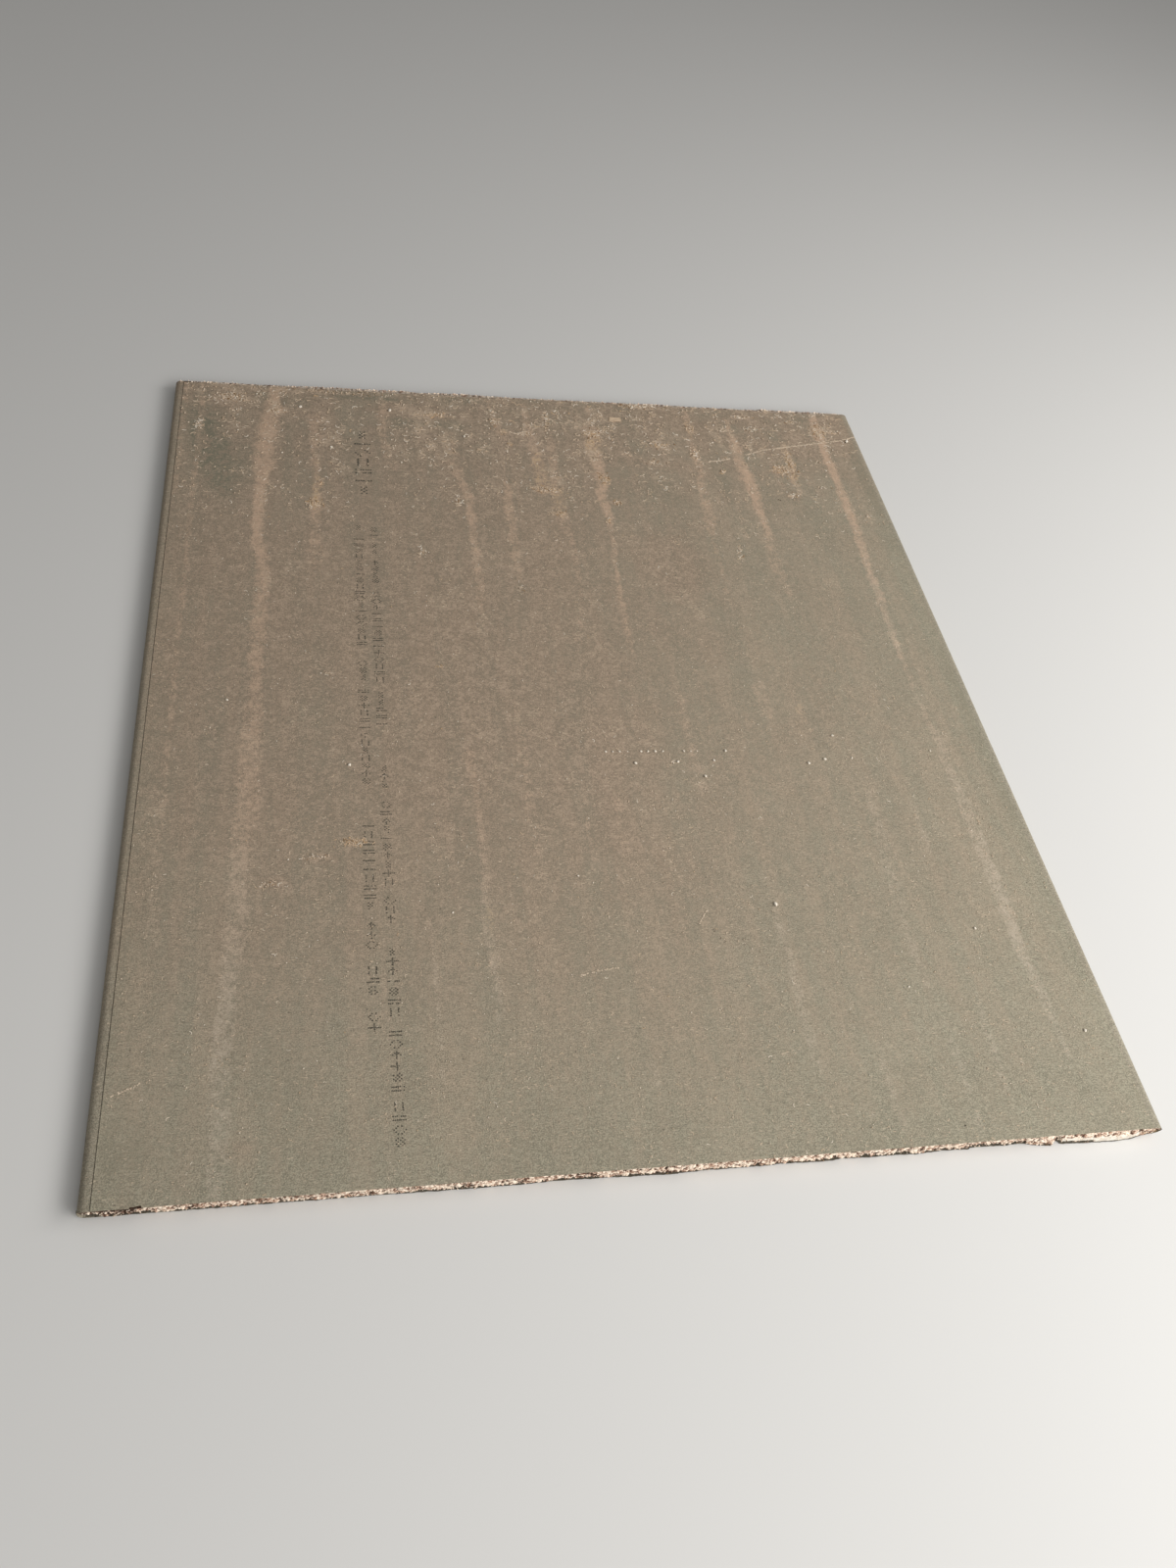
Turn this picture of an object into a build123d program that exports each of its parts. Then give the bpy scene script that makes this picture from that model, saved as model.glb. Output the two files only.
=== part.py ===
"""A piece of moisture-resistant plasterboard, cut from a plank with rounded long edges.

The board lies flat with its back up. X runs across its width, Y along its length, and Z up.
The origin is the middle of the underside. All sizes are in millimetres.
"""

import os
from math import cos, pi, sin

from build123d import *

# The board: the plank's own width and thickness, and the length of this piece between its knife cuts.
sheet_width = 600.0
sheet_length = 700.0
sheet_thickness = 9.5

# The paper: its thickness, how far the face liner laps onto the back, and where the back liner stops.
liner_thickness = 0.35
lap_width = 25.0
seam_inset = 7.0

# The snapped ends: how deep the knife scored, and how far the break wanders below that. The wander
# also shifts sideways on its way down, by these angles in radians, and the ripple shifts faster.
score_depth = 1.0
break_step = 15.0
break_wave = 0.55
break_wave_length = 134.0
break_ripple = 0.3
break_ripple_length = 47.0
ripple_shift = 2.3
middle_share = 0.75
middle_shift = 0.4
face_shift = 1.9

# The near break runs out under the back liner in one shard, and leans in beside the other corner.
shard_from_corner = 37.0
shard_width = 60.0
shard_reach = 2.2
undercut_width = 70.0
undercut_depth = 1.4

# That corner has crumbled: the hollow's reach along the end, its depth and its height above the face,
# and the teeth of the face liner's torn edge over it.
hollow_reach = 14.0
hollow_depth = 5.5
hollow_height = 6.8
tear_depth = 3.2
tear_tooth = 1.3
tear_steps = 5

# The far break leans outwards, with a fuller stretch left of the middle.
far_lean = 0.7
far_swell_from_corner = 185.0
far_swell_width = 260.0
far_swell_reach = 0.9

# The wrapped section: the back liner lies on top of it, so it is lower by one liner.
wrap_height = sheet_thickness - liner_thickness
core_width = sheet_width - 2 * liner_thickness
core_height = wrap_height - 2 * liner_thickness
core_field_width = sheet_width - 2 * lap_width
back_liner_width = sheet_width - 2 * seam_inset

# The break's outline reaches past the board's sides, so that the rounded edges end in it, and the
# sections are extruded past both breaks before they are cut off there.
side_margin = 10.0
end_margin = 20.0
half_span = sheet_width / 2 + side_margin
stock_length = sheet_length + 2 * end_margin

os.makedirs("parts", exist_ok=True)


def swell(x, middle, width):
    """A smooth rise from 0 to 1 and back over the given width, centred on the middle."""
    share = (x - middle) / (width / 2)
    return 0.5 + 0.5 * cos(pi * share) if abs(share) < 1 else 0.0


def wander(x, phase):
    """The slow wave and the shorter ripple of a snapped edge."""
    wave = break_wave * sin(2 * pi * x / break_wave_length + phase)
    ripple = break_ripple * sin(2 * pi * x / break_ripple_length + ripple_shift * phase)
    return wave + ripple


def near_reach(x, depth, phase):
    """How far the near break stands out past the knife cut. Depth is 0 at the score and 1 at the face."""
    shard = shard_reach * swell(x, sheet_width / 2 - shard_from_corner, shard_width)
    undercut = undercut_depth * swell(x, -sheet_width / 2, undercut_width)
    return depth * (wander(x, phase) + shard - undercut)


def far_reach(x, depth, phase):
    """How far the far break stands out past the knife cut."""
    fuller = far_swell_reach * swell(x, far_swell_from_corner - sheet_width / 2, far_swell_width)
    return depth * (wander(x, phase) + far_lean + fuller)


stations = round(2 * half_span / break_step)
across = [half_span * (2 * i / stations - 1) for i in range(stations + 1)]

# The space that the snapped board fills, from the score line down to the face. The knife's own cut
# is straight and upright, and below it the break wanders more the deeper it goes.
break_levels = [
    (sheet_thickness, 0.0, 0.0),
    (sheet_thickness - liner_thickness - score_depth, 0.0, 0.0),
    (sheet_thickness / 2, middle_share, middle_shift),
    (0.0, 1.0, face_shift),
]
with BuildPart(mode=Mode.PRIVATE) as snapped_space:
    for level, depth, phase in break_levels:
        near_points = [(x, -sheet_length / 2 - near_reach(x, depth, phase)) for x in across]
        far_points = [(x, sheet_length / 2 + far_reach(x, depth, phase + pi)) for x in across]
        with BuildSketch(Plane.XY.offset(level)):
            with BuildLine():
                near_edge = Spline(*near_points)
                far_edge = Spline(*reversed(far_points))
                Line(near_edge @ 1, far_edge @ 0)
                Line(far_edge @ 1, near_edge @ 0)
            make_face()
    loft(ruled=True)

# The crumbled corner, as two spaces that narrow to almost nothing along the end: the hollow is missing
# from the core, and the tear from the paper round it.
corner_x = -sheet_width / 2
corner_y = -sheet_length / 2
front_y = corner_y - end_margin
narrow_end = 0.05

# Sections of the hollow: how far along the end, and the shares of its depth and its height there. Each
# leans back from its roof in two facets, to its deepest line a third of the way up.
hollow_sections = [
    (-side_margin, 1.0, 1.0),
    (0.45 * hollow_reach, 0.75, 0.8),
    (hollow_reach, narrow_end, 0.3),
]
with BuildPart(mode=Mode.PRIVATE) as hollow:
    for along, depth_share, height_share in hollow_sections:
        depth = depth_share * hollow_depth
        top_z = height_share * hollow_height
        with BuildSketch(Plane.YZ.offset(corner_x + along)):
            with BuildLine():
                Polyline(
                    (front_y, -side_margin),
                    (front_y, top_z),
                    (corner_y + 0.4 * depth, top_z),
                    (corner_y + 0.8 * depth, 0.7 * top_z),
                    (corner_y + depth, 0.33 * top_z),
                    (corner_y + depth, -side_margin),
                    close=True,
                )
            make_face()
    loft(ruled=True)

# The torn edge climbs from the face in teeth, and ends level with the hollow's roof.
with BuildPart(mode=Mode.PRIVATE) as tear:
    for along, share in ((-side_margin, 1.0), (hollow_reach, narrow_end)):
        torn_edge = []
        for step in range(tear_steps + 1):
            rise = step / tear_steps
            tooth = tear_tooth if step % 2 else 0.0
            depth = tear_depth * (1 - rise) + tooth
            torn_edge.append((corner_y + share * depth, rise * hollow_height))
        with BuildSketch(Plane.YZ.offset(corner_x + along)):
            with BuildLine():
                Polyline(
                    (front_y, hollow_height),
                    (front_y, -side_margin),
                    (corner_y + share * tear_depth, -side_margin),
                    *torn_edge,
                    close=True,
                )
            make_face()
    loft(ruled=True)

# The gypsum core: rounded along both long edges, and a liner lower beside them, where the laps lie.
with BuildPart() as gypsum_core:
    with BuildSketch(Plane.XZ) as core_section:
        with Locations((0, liner_thickness + core_height / 2)):
            SlotOverall(core_width, core_height)
        with Locations((0, wrap_height - liner_thickness)):
            Rectangle(core_field_width, liner_thickness, align=(Align.CENTER, Align.MIN))
    extrude(amount=stock_length / 2, both=True)
    add(snapped_space.part, mode=Mode.INTERSECT)
    add(hollow.part, mode=Mode.SUBTRACT)

# The face liner: one sheet of paper under the core, round both long edges and onto the back.
with BuildPart() as face_liner:
    with BuildSketch(Plane.XZ) as wrap_section:
        with Locations((0, wrap_height / 2)):
            SlotOverall(sheet_width, wrap_height)
            SlotOverall(core_width, core_height, mode=Mode.SUBTRACT)
        with Locations((0, wrap_height - liner_thickness)):
            Rectangle(
                core_field_width,
                liner_thickness,
                align=(Align.CENTER, Align.MIN),
                mode=Mode.SUBTRACT,
            )
    extrude(amount=stock_length / 2, both=True)
    add(snapped_space.part, mode=Mode.INTERSECT)
    add(tear.part, mode=Mode.SUBTRACT)

# The back liner: a flat sheet of paper over the core's field and both laps, short of the long edges.
with BuildPart() as back_liner:
    with BuildSketch(Plane.XZ) as back_section:
        with Locations((0, wrap_height)):
            Rectangle(back_liner_width, liner_thickness, align=(Align.CENTER, Align.MIN))
    extrude(amount=stock_length / 2, both=True)
    add(snapped_space.part, mode=Mode.INTERSECT)

gypsum_core.part.label = "gypsum_core"
face_liner.part.label = "face_liner"
back_liner.part.label = "back_liner"
export_step(gypsum_core.part, "parts/gypsum_core.step")
export_step(face_liner.part, "parts/face_liner.step")
export_step(back_liner.part, "parts/back_liner.step")
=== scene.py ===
import random
from functools import cache
from math import copysign, hypot, pi, radians, sqrt

import bpy
from mathutils import Euler, Matrix, Quaternion, Vector, noise
from mathutils.bvhtree import BVHTree


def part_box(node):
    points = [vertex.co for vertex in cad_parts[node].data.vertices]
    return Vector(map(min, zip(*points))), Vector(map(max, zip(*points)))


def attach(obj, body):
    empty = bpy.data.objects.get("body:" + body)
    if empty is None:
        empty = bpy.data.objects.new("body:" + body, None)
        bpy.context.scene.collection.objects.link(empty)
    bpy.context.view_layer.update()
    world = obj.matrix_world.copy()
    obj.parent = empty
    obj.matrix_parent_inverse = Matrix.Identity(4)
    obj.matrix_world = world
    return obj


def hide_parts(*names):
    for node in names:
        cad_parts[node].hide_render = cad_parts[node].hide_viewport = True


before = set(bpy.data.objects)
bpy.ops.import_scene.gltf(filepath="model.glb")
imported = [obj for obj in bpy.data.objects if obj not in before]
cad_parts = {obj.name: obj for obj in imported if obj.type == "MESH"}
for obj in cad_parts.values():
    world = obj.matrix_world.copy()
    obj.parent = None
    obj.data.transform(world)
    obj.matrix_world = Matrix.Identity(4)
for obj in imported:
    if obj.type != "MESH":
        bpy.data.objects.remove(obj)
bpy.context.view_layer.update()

# The gypsum core: cast between two papers, the wrapped one rounding its long edges. Its short ends were
# scored with a knife through the back paper and snapped, so they are rough below the score, with one
# smooth white shard near the right corner and the left corner crumbled away.
MM = 0.001
core_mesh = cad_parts["gypsum_core"].data
core_tree = BVHTree.FromPolygons(
    [vertex.co for vertex in core_mesh.vertices], [face.vertices for face in core_mesh.polygons]
)
core_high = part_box("gypsum_core")[1]
wrap_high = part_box("face_liner")[1]
back_low, back_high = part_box("back_liner")
paper_thickness = back_high.z - back_low.z
knife_y = back_high.y
wrap_radius = wrap_high.z / 2
core_radius = wrap_radius - paper_thickness
bend_x = wrap_high.x - wrap_radius
lap_width, score_depth = 25 * MM, 1 * MM
field_x = wrap_high.x - lap_width
score_z = core_high.z - score_depth
grain_pitch = 0.42 * MM
hair = 1e-5

# How far the near break stands out past the knife cut, low down on the core: the distance from the left
# edge and the reach, in millimetres.
near_line = (
    (20, -0.9), (40, -0.7), (115, -0.6), (145, -0.7), (175, -0.2), (200, -0.1), (225, -0.3), (240, -0.7),
    (265, -0.1), (290, 0.35), (301, 0.8), (310, 0.45), (320, 0.1), (345, 0), (356, 0.1), (365, -0.3),
    (388, 0.2), (397, 0.1), (400, -0.45), (420, 0.2), (430, -0.15), (447, 0.3), (462, -0.35), (478, 0),
    (480, -1.3), (490, -0.85), (503, -0.4), (506, -1.2), (512, -0.7), (517, 0.35), (523, 1.1), (530, 1.8),
    (531.5, -1.1), (534.5, -0.7), (535.5, 1), (545, 1.5), (555, 1.9), (573, 2), (581, 1.5), (587, 0.4),
    (593, -0.5), (600, -0.9),
)
# The same for the ledge that the far break left high up.
far_line = (
    (0, 1), (30, 1.3), (60, 0.8), (95, 1.2), (110, 2), (140, 2.2), (165, 1.7), (188, 2.4), (203, 0.7),
    (222, 1.9), (240, 2.4), (262, 1.2), (300, 1), (345, 0.8), (395, 1.3), (412, 1.7), (440, 1),
    (505, 0.8), (517, 2.3), (530, 1.6), (568, 1.9), (600, 1),
)
# Where the crumbled corner gives way to the near break's line, and the heights where the far ledge starts.
corner_end = (12, 26)
ledge_z = (5.2 * MM, 7 * MM)
middle_share = 0.75
# The smooth shard: its start, its end and the height of its top.
shard_start, shard_end, shard_top = 535.5, 589, 5.2
# Gashes where the core came off above the face paper: start, end and depth.
gashes = (
    (26, 34, 0.8), (86, 92, 0.7), (165, 176, 1.1), (185, 190, 1.4), (240, 262, 0.8), (279, 307, 1),
    (350.5, 352, 2.2), (388, 399, 1.2), (412, 422, 1.2), (430, 442, 1.8), (460.5, 463, 2.2), (478, 500, 2.8),
    (504.5, 514, 2.6), (531, 557, 1.7),
)


def soft_step(value, low, high):
    """A smooth rise from 0 at low to 1 at high."""
    share = min(max((value - low) / (high - low), 0), 1)
    return share * share * (3 - 2 * share)


def along_line(line, x):
    """The value of a line of points at x."""
    for (x0, y0), (x1, y1) in zip(line, line[1:]):
        if x <= x1:
            return y0 + (y1 - y0) * min(max((x - x0) / (x1 - x0), 0), 1)
    return line[-1][1]


def noise_at(x, y, size):
    """A smooth noise from -1 to 1, with waves of the given size in millimetres."""
    return noise.noise(Vector((x / size, y / size, 7.3)))


def from_left(x):
    """A place's distance from the board's left edge in millimetres."""
    return (x + wrap_high.x) / MM


def x_of(across):
    """The place at a distance in millimetres from the left edge."""
    return across * MM - wrap_high.x


def snapped_end(x, z, side):
    """Where the CAD core ends in Y beside a point of its section, at its near (-1) or far (1) end."""
    reach = core_radius - 0.3 * MM
    offset = Vector((max(abs(x) - bend_x, 0), z - wrap_radius))
    if offset.length > reach:
        offset *= reach / offset.length
    start_x = copysign(min(abs(x), bend_x) + offset.x, x)
    start = Vector((start_x, 2 * side * knife_y, wrap_radius + offset.y))
    place = core_tree.ray_cast(start, Vector((0, -side, 0)))[0]
    return place.y if place else side * knife_y


def broken_end(x, z, side):
    """Where the real break lies: on the CAD core at the crumbled corner, and elsewhere on its own line."""
    across = from_left(x)
    depth = middle_share * min(max((score_z - z) / (score_z - wrap_radius), 0), 1)
    depth += (1 - middle_share) * min(max(1 - z / wrap_radius, 0), 1)
    if side > 0:
        return snapped_end(x, z, side) + soft_step(z, *ledge_z) * along_line(far_line, across) * MM
    own_line = -knife_y - depth * along_line(near_line, across) * MM
    crumbled = 1 - soft_step(across, *corner_end)
    return own_line + crumbled * (snapped_end(x, z, side) - own_line)


def on_shard(x, z):
    """1 on the smooth white shard, falling to 0 round it."""
    across = from_left(x)
    top = (shard_top + 0.9 * noise_at(across, 0, 5)) * MM
    sides = soft_step(across, shard_start - 0.6, shard_start + 0.6)
    sides *= 1 - soft_step(across, shard_end - 6, shard_end)
    return sides * (1 - soft_step(z, top - 0.6 * MM, top + 0.4 * MM))


def gash_at(across, z):
    """How deep a gash goes into the near end, low down above the face paper."""
    depth = max((deep for start, stop, deep in gashes if start < across < stop), default=0)
    return depth * MM * (1 - soft_step(z, 1.5 * MM, 2.6 * MM))


set_mode = bpy.ops.object.mode_set


def grid(name, columns, rows, size, **place):
    """A flat grid, turned and placed, then stretched to its size and left in edit mode."""
    bpy.ops.mesh.primitive_grid_add(x_subdivisions=columns, y_subdivisions=rows, size=1, **place)
    bpy.context.object.name = name
    bpy.ops.object.transform_apply()
    set_mode(mode="EDIT")
    bpy.ops.transform.resize(value=size)
    return bpy.context.object


def choose(piece, wanted):
    """Goes to edit mode with only the vertices selected for which wanted(place) holds."""
    set_mode(mode="EDIT")
    bpy.ops.mesh.select_mode(type="VERT")
    bpy.ops.mesh.select_all(action="DESELECT")
    set_mode(mode="OBJECT")
    for vertex in piece.data.vertices:
        vertex.select = wanted(vertex.co)
    set_mode(mode="EDIT")


def pull(piece, spot, shift, radius):
    """Moves the vertex nearest to a spot, and less and less what lies round it within the radius."""
    near = min(piece.data.vertices, key=lambda vertex: (vertex.co - spot).length).index
    choose(piece, lambda place: place == piece.data.vertices[near].co)
    bpy.ops.transform.translate(
        value=shift, use_proportional_edit=True, proportional_edit_falloff="SMOOTH", proportional_size=radius
    )
    set_mode(mode="OBJECT")


def roughen(piece, group, depth, grain, kind="CLOUDS", direction="Y", middle=0.5):
    """Pushes a vertex group, or all when it's empty, in and out by a noise, given in millimetres."""
    texture = bpy.data.textures.new(f"{piece.name}_{kind}_{grain}", kind)
    texture.noise_scale = grain * MM
    if direction == "RGB_TO_XYZ":
        texture.cloud_type = "COLOR"
    push = piece.modifiers.new("roughen", "DISPLACE")
    push.texture = texture
    push.texture_coords = "LOCAL"
    push.direction = direction
    push.vertex_group = group
    push.strength = depth * MM
    push.mid_level = middle
    bpy.ops.object.modifier_apply(modifier=push.name)


core_width, core_height = 2 * (bend_x + core_radius), 2 * core_radius
near_middle = (0, -knife_y, wrap_radius)
columns, rows = round(core_width / grain_pitch), round(core_height / grain_pitch)
core_size = (core_width, 1, core_height)
core = grid("cast_core", columns, rows, core_size, location=near_middle, rotation=(pi / 2, 0, 0))
column_width = core_width / columns
for column in range(int(core_radius / column_width) + 1):
    x = bend_x + core_radius - column * column_width
    height = sqrt(max(core_radius**2 - (x - bend_x) ** 2, 0)) / core_radius
    choose(core, lambda place: abs(abs(place.x) - x) < column_width / 4)
    bpy.ops.transform.resize(value=(1, 1, max(height, 0.08)), center_override=near_middle)
choose(core, lambda place: abs(place.x) < field_x and place.z > wrap_radius + core_radius - hair)
bpy.ops.transform.translate(value=(0, 0, paper_thickness))
bpy.ops.mesh.select_all(action="SELECT")
bpy.ops.mesh.extrude_region_move(TRANSFORM_OT_translate={"value": (0, 2 * knife_y, 0)})
bpy.ops.mesh.select_all(action="SELECT")
bpy.ops.mesh.normals_make_consistent(inside=False)
set_mode(mode="OBJECT")

# Near the left corner the rim has sunk away under the back paper: its start, its end and its depth.
sunk_start, sunk_end, sunk_depth = 18, 31.5, 0.9
broken = core.vertex_groups.new(name="broken")
smooth_y = []
for vertex in core.data.vertices:
    side = copysign(1, vertex.co.y)
    across = from_left(vertex.co.x)
    if side < 0 and sunk_start < across < sunk_end:
        sunk = sunk_depth * MM * (across - sunk_start) / (sunk_end - sunk_start)
        vertex.co.z -= sunk * soft_step(vertex.co.z, score_z - 1.5 * MM, core_high.z)
    x, z = vertex.co.x, vertex.co.z
    vertex.co.y = broken_end(x, z, side)
    smooth_y.append(vertex.co.y)
    if side < 0:
        smooth = max(0.6 * soft_step(z, score_z, score_z + 0.6 * MM), 0.85 * on_shard(x, z))
        vertex.co.y += gash_at(across, z)
    else:
        smooth = 0.3 * soft_step(z, score_z, score_z + 0.6 * MM)
    broken.add([vertex.index], 1 - smooth, "REPLACE")
roughen(core, "broken", 1.1, 4.2, kind="VORONOI", middle=0.4)
roughen(core, "broken", 1.4, 1.9, kind="VORONOI", middle=0.45)
roughen(core, "broken", 0.8, 0.9)
roughen(core, "broken", 0.3, 0.9, direction="RGB_TO_XYZ")

# Holes where grains have fallen out: from the left edge, above the face, depth and radius.
pits = ((533, 3.4, 3.2, 2.2), (556.5, 0.9, 2.6, 1.3), (566, 3.6, 1.6, 0.9), (507, 1.2, 2, 1.6), (38, 3.5, 1.6, 1.4))
for across, z, depth, radius in pits:
    pull(core, Vector((x_of(across), -knife_y, z * MM)), (0, depth * MM, 0), radius * MM)

# The relief: how far each point of a broken end lies out or in from its smooth line, in millimetres, with painted
# shade added. The near-left corner is lowered for painted shade, and the slit under the sunk rim is lowered further
# for a painted shadow. The far ledge's top is set high so it stays pale and free of painted shade.
relief = core.data.attributes.new("relief", "FLOAT", "POINT")
for vertex, start_y in zip(core.data.vertices, smooth_y):
    side = copysign(1, vertex.co.y)
    height = side * (vertex.co.y - start_y) / MM
    if side < 0:
        across = from_left(vertex.co.x)
        height -= 0.6 * (1 - soft_step(across, 24, 33))
        if sunk_start < across < sunk_end and vertex.co.z > core_high.z - 1.1 * MM:
            height -= 1.2
    elif vertex.co.z > 7.5 * MM:
        height = 0.7 + 0.35 * max(height, 0)
    relief.data[vertex.index].value = height
core.data.shade_smooth()


def paint_on(piece, name, value_at):
    """Paints a value on a mesh's points."""
    layer = piece.data.attributes.new(name, "FLOAT", "POINT")
    layer.data.foreach_set("value", [value_at(vertex.co) for vertex in piece.data.vertices])


def paint(red, green, blue):
    """A linear colour from its 0 to 255 screen values."""
    shares = [value / 255 for value in (red, green, blue)]
    return (*[c / 12.92 if c <= 0.04045 else ((c + 0.055) / 1.055) ** 2.4 for c in shares], 1)


def add_node(tree, kind, inputs=None, **settings):
    """A shader node with its settings, and with a value or a link in each named or numbered input."""
    made = tree.nodes.new("ShaderNode" + kind)
    for setting, value in settings.items():
        setattr(made, setting, value)
    for key, value in (inputs or {}).items():
        if isinstance(value, bpy.types.NodeSocket):
            tree.links.new(value, made.inputs[key])
        else:
            made.inputs[key].default_value = value
    return made


def times(tree, first, second, operation="MULTIPLY"):
    """Two values multiplied, or joined by another math operation."""
    return add_node(tree, "Math", {0: first, 1: second}, operation=operation).outputs[0]


def weigh(tree, *parts):
    """The sum of values, each given with its weight."""
    total = 0
    for value, weight in parts:
        inputs = {0: value, 1: weight, 2: total}
        total = add_node(tree, "Math", inputs, operation="MULTIPLY_ADD").outputs[0]
    return total


def rise(tree, value, low, high):
    """A smooth rise from 0 to 1 as the value goes from low to high."""
    limits = {"Value": value, "From Min": low, "From Max": high}
    return add_node(tree, "MapRange", limits, interpolation_type="SMOOTHSTEP").outputs[0]


def mix(tree, share, first, second):
    """Two colours mixed by a share from 0 to 1."""
    return add_node(tree, "Mix", {0: share, 6: first, 7: second}, data_type="RGBA").outputs[2]


def cloud(tree, place, waves, detail=2, roughness=0.5):
    """A noise value from 0 to 1, with so many waves in a metre."""
    inputs = {"Vector": place, "Scale": waves, "Detail": detail, "Roughness": roughness}
    return add_node(tree, "TexNoise", inputs).outputs["Fac"]


def cells(tree, place, number):
    """Cells with so many in a metre: each one's own random value, and the distance from its middle."""
    made = add_node(tree, "TexVoronoi", {"Vector": place, "Scale": number})
    own = add_node(tree, "SeparateColor", {"Color": made.outputs["Color"]}).outputs[0]
    return own, made.outputs["Distance"]


def new_material(name, roughness):
    """A material, its node tree, its Principled shader and the object's own coordinates."""
    material = bpy.data.materials.new(name)
    material.use_nodes = True
    tree = material.node_tree
    shader = tree.nodes["Principled BSDF"]
    shader.inputs["Roughness"].default_value = roughness
    shader.inputs["Specular IOR Level"].default_value = 0.25
    place = add_node(tree, "TexCoord").outputs["Object"]
    return material, tree, shader, place


def painted(tree, name):
    """A value painted on the mesh."""
    return add_node(tree, "Attribute", attribute_name=name).outputs["Fac"]


def raise_surface(tree, shader, height, distance):
    """Bumps the shader's surface by a height from 0 to 1 times a distance in metres."""
    bump = add_node(tree, "Bump", {"Height": height, "Distance": distance})
    tree.links.new(bump.outputs["Normal"], shader.inputs["Normal"])


def shader_group(name, **inputs):
    """A new node group for a colour and a height: its tree, its place, and its sockets in and out."""
    tree = bpy.data.node_groups.new(name, "ShaderNodeTree")
    for title, kind in {"Place": "Vector", **inputs}.items():
        tree.interface.new_socket(title, in_out="INPUT", socket_type="NodeSocket" + kind)
    for title, kind in (("Colour", "Color"), ("Height", "Float")):
        tree.interface.new_socket(title, in_out="OUTPUT", socket_type="NodeSocket" + kind)
    given = tree.nodes.new("NodeGroupInput").outputs
    return tree, given["Place"], given, tree.nodes.new("NodeGroupOutput").inputs


def use_group(tree, name, inputs):
    """A node group placed in a material, with its own values."""
    return add_node(tree, "Group", inputs, node_tree=bpy.data.node_groups[name]).outputs


# The broken gypsum: grains in its own buff and pale tones, with painted shade and light from the relief. Crests are
# paler, and hollows are darker, down to a dark brown.
tree, place, given, result = shader_group("gypsum_grain", Relief="Float", Fresh="Float")
grain_tone, grain_edge = cells(tree, place, 560)
small_tone, small_edge = cells(tree, place, 1300)
blotch = cloud(tree, place, 260, 3)
tone = weigh(tree, (grain_tone, 0.72), (small_tone, 0.24), (blotch, 0.4), (given["Relief"], 0.22))
buff = mix(tree, rise(tree, tone, 0.3, 0.55), paint(102, 75, 59), paint(193, 159, 137))
pale = mix(tree, rise(tree, tone, 0.52, 0.82), buff, paint(250, 232, 211))
# Painted shade in the hollows of the break.
hollow_shade = rise(tree, given["Relief"], -0.12, -0.95)
rough_colour = mix(tree, hollow_shade, pale, paint(60, 43, 32))
clean_colour = mix(tree, rise(tree, blotch, 0.3, 0.7), paint(214, 203, 187), paint(238, 231, 218))
tree.links.new(mix(tree, given["Fresh"], rough_colour, clean_colour), result["Colour"])
tree.links.new(weigh(tree, (grain_edge, -0.6), (small_edge, -0.3)), result["Height"])

paint_on(core, "fresh", lambda place: on_shard(place.x, place.z) if place.y < 0 else 0)
gypsum, tree, shader, place = new_material("broken_gypsum", 0.95)
layers = {"Relief": painted(tree, "relief"), "Fresh": painted(tree, "fresh")}
grain = use_group(tree, "gypsum_grain", {"Place": place, **layers})
tree.links.new(grain["Colour"], shader.inputs["Base Color"])
raise_surface(tree, shader, grain["Height"], 0.3 * MM)
core.data.materials.append(gypsum)
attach(core, "root")
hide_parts("gypsum_core")

# The face paper: one sheet of grey-green liner under the core, turned up round both long edges while
# the gypsum was wet, and lapped onto the back. It tore where the board was snapped, so its short edges
# follow the break, and it is torn away at the crumbled corner.
bend_steps = 18
cut_overhang = 0.25 * MM
deepest_tear = 3.4 * MM
end_rows = (0.5, 0.94, 0.985, 0.9965, 0.9985)
lap_places = (bend_x, back_high.x + 0.55 * MM, back_high.x + 0.2 * MM, back_high.x - 0.3 * MM, field_x)
face_paper = grid("face_paper", 700, 1, (2 * bend_x, 2 * knife_y, 1))
for row in end_rows:
    for side in (-1, 1):
        bpy.ops.mesh.select_all(action="SELECT")
        bpy.ops.mesh.bisect(plane_co=(0, side * row * knife_y, 0), plane_no=(0, 1, 0))
for side in (-1, 1):
    choose(face_paper, lambda place: abs(place.x - side * bend_x) < hair and place.z < hair)
    bpy.ops.mesh.spin(steps=bend_steps, angle=pi, center=(side * bend_x, 0, wrap_radius), axis=(0, side, 0))
    for start_x, stop_x in zip(lap_places, lap_places[1:]):
        bpy.ops.mesh.extrude_region_move(TRANSFORM_OT_translate={"value": (side * (stop_x - start_x), 0, 0)})
bpy.ops.mesh.select_all(action="SELECT")
bpy.ops.mesh.remove_doubles(threshold=1e-6)
bpy.ops.mesh.normals_make_consistent(inside=False)
set_mode(mode="OBJECT")

cut_edge = face_paper.vertex_groups.new(name="cut_edge")
for vertex in face_paper.data.vertices:
    if abs(vertex.co.y) > knife_y - hair:
        side = copysign(1, vertex.co.y)
        end_y = broken_end(vertex.co.x, vertex.co.z, side)
        if side < 0:
            end_y = min(end_y, -knife_y + deepest_tear)
        under = 1 - soft_step(vertex.co.z, 0.6 * wrap_high.z, 0.9 * wrap_high.z)
        vertex.co.y = end_y + side * cut_overhang * under
        cut_edge.add([vertex.index], 1, "REPLACE")
roughen(face_paper, "cut_edge", 0.6, 2.2)
roughen(face_paper, "cut_edge", 0.6, 6)


def thicken(piece, thickness):
    """Gives a flat piece its thickness."""
    wall = piece.modifiers.new("wall", "SOLIDIFY")
    wall.thickness = thickness
    bpy.ops.object.modifier_apply(modifier=wall.name)


thicken(face_paper, paper_thickness)
bpy.ops.object.shade_smooth_by_angle(angle=radians(50))

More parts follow.
